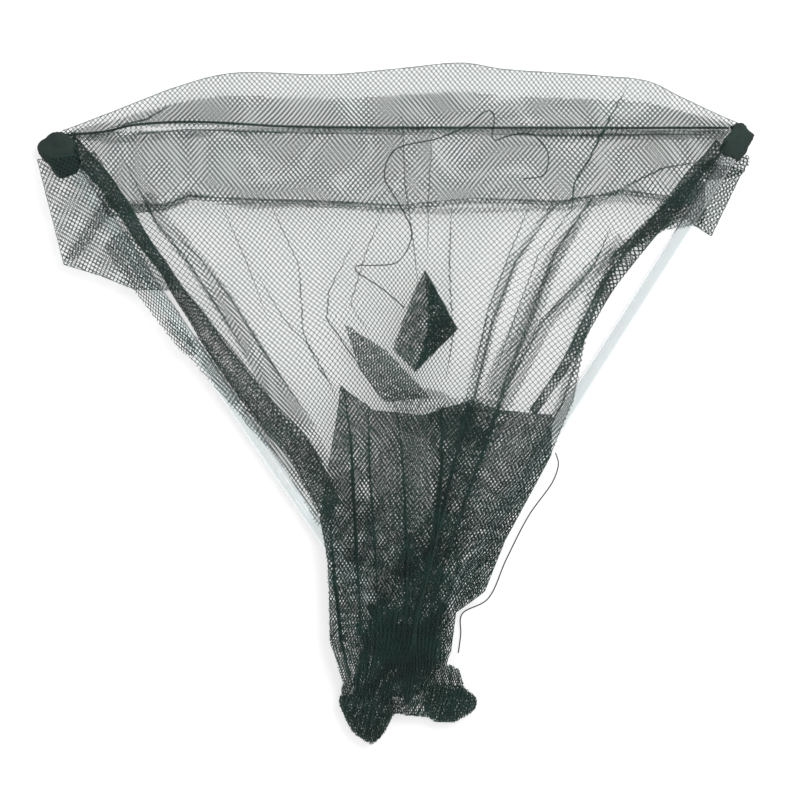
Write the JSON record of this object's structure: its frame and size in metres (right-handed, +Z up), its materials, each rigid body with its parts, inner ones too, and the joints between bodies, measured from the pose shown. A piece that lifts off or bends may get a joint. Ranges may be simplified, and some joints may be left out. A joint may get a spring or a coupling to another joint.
{
  "type": "folding triangular net head",
  "caption": "Flat-lying folding net head: clear tube arms hinged at a hub, a taut front cord and a deep dark green knitted bag.",
  "frame": {"origin": "on the table below the middle of the net head's box, lying flat", "axes": "+Z up from the table, +Y from the hub towards the front cord, +X along the front cord to the right-hand tip"},
  "size_m": [0.6112, 0.582, 0.0286],
  "materials": {
    "clear_plastic": "clear, glossy",
    "dark_plastic": "matt",
    "steel": "bright",
    "netting": "knitted mesh, slight sheen",
    "patch_cloth": "woven, matt",
    "twine": "twisted, matt"
  },
  "bodies": {
    "hub": {"hub_bottom_plate": "dark_plastic", "hub_top_plate": "dark_plastic", "hub_core": "dark_plastic", "pivot_rivet_left": "steel", "pivot_rivet_right": "steel", "handle_stud": "steel", "front_cord": "twine", "front_overhang": "netting", "collar_band": "netting", "main_panel": "netting", "lower_bag": "netting", "bag_foot_left": "netting", "bag_foot_right": "netting", "centre_flap": "netting", "side_flap": "netting", "loose_thread_long": "twine", "loose_thread_short": "twine"},
    "left_arm": {"arm_heel_left": "dark_plastic", "arm_tube_left": "clear_plastic", "tip_cap_left": "dark_plastic", "tip_eyelet_left": "steel", "corner_patch_left": "patch_cloth", "cord_knot_left": "twine", "side_roll_left": "netting", "wing_left": "netting"},
    "right_arm": {"arm_heel_right": "dark_plastic", "arm_tube_right": "clear_plastic", "tip_cap_right": "dark_plastic", "tip_eyelet_right": "steel", "corner_patch_right": "patch_cloth", "cord_knot_right": "twine", "side_roll_right": "netting", "wing_right": "netting"}
  },
  "joints": [
    {"name": "left_arm_fold", "type": "hinge", "parent": "hub", "child": "left_arm", "pos_m": [-0.0047, -0.199, 0.0075], "axis": [0, 0, 1], "range_deg": [-33, 0], "deforming": ["front_cord", "front_overhang", "collar_band", "main_panel", "lower_bag", "bag_foot_left", "wing_left", "side_roll_left", "centre_flap", "side_flap", "loose_thread_long"]},
    {"name": "right_arm_fold", "type": "hinge", "parent": "hub", "child": "right_arm", "pos_m": [0.0227, -0.199, 0.0075], "axis": [0, 0, 1], "range_deg": [0, 31], "deforming": ["bag_foot_right", "wing_right", "side_roll_right", "loose_thread_short"]}
  ]
}
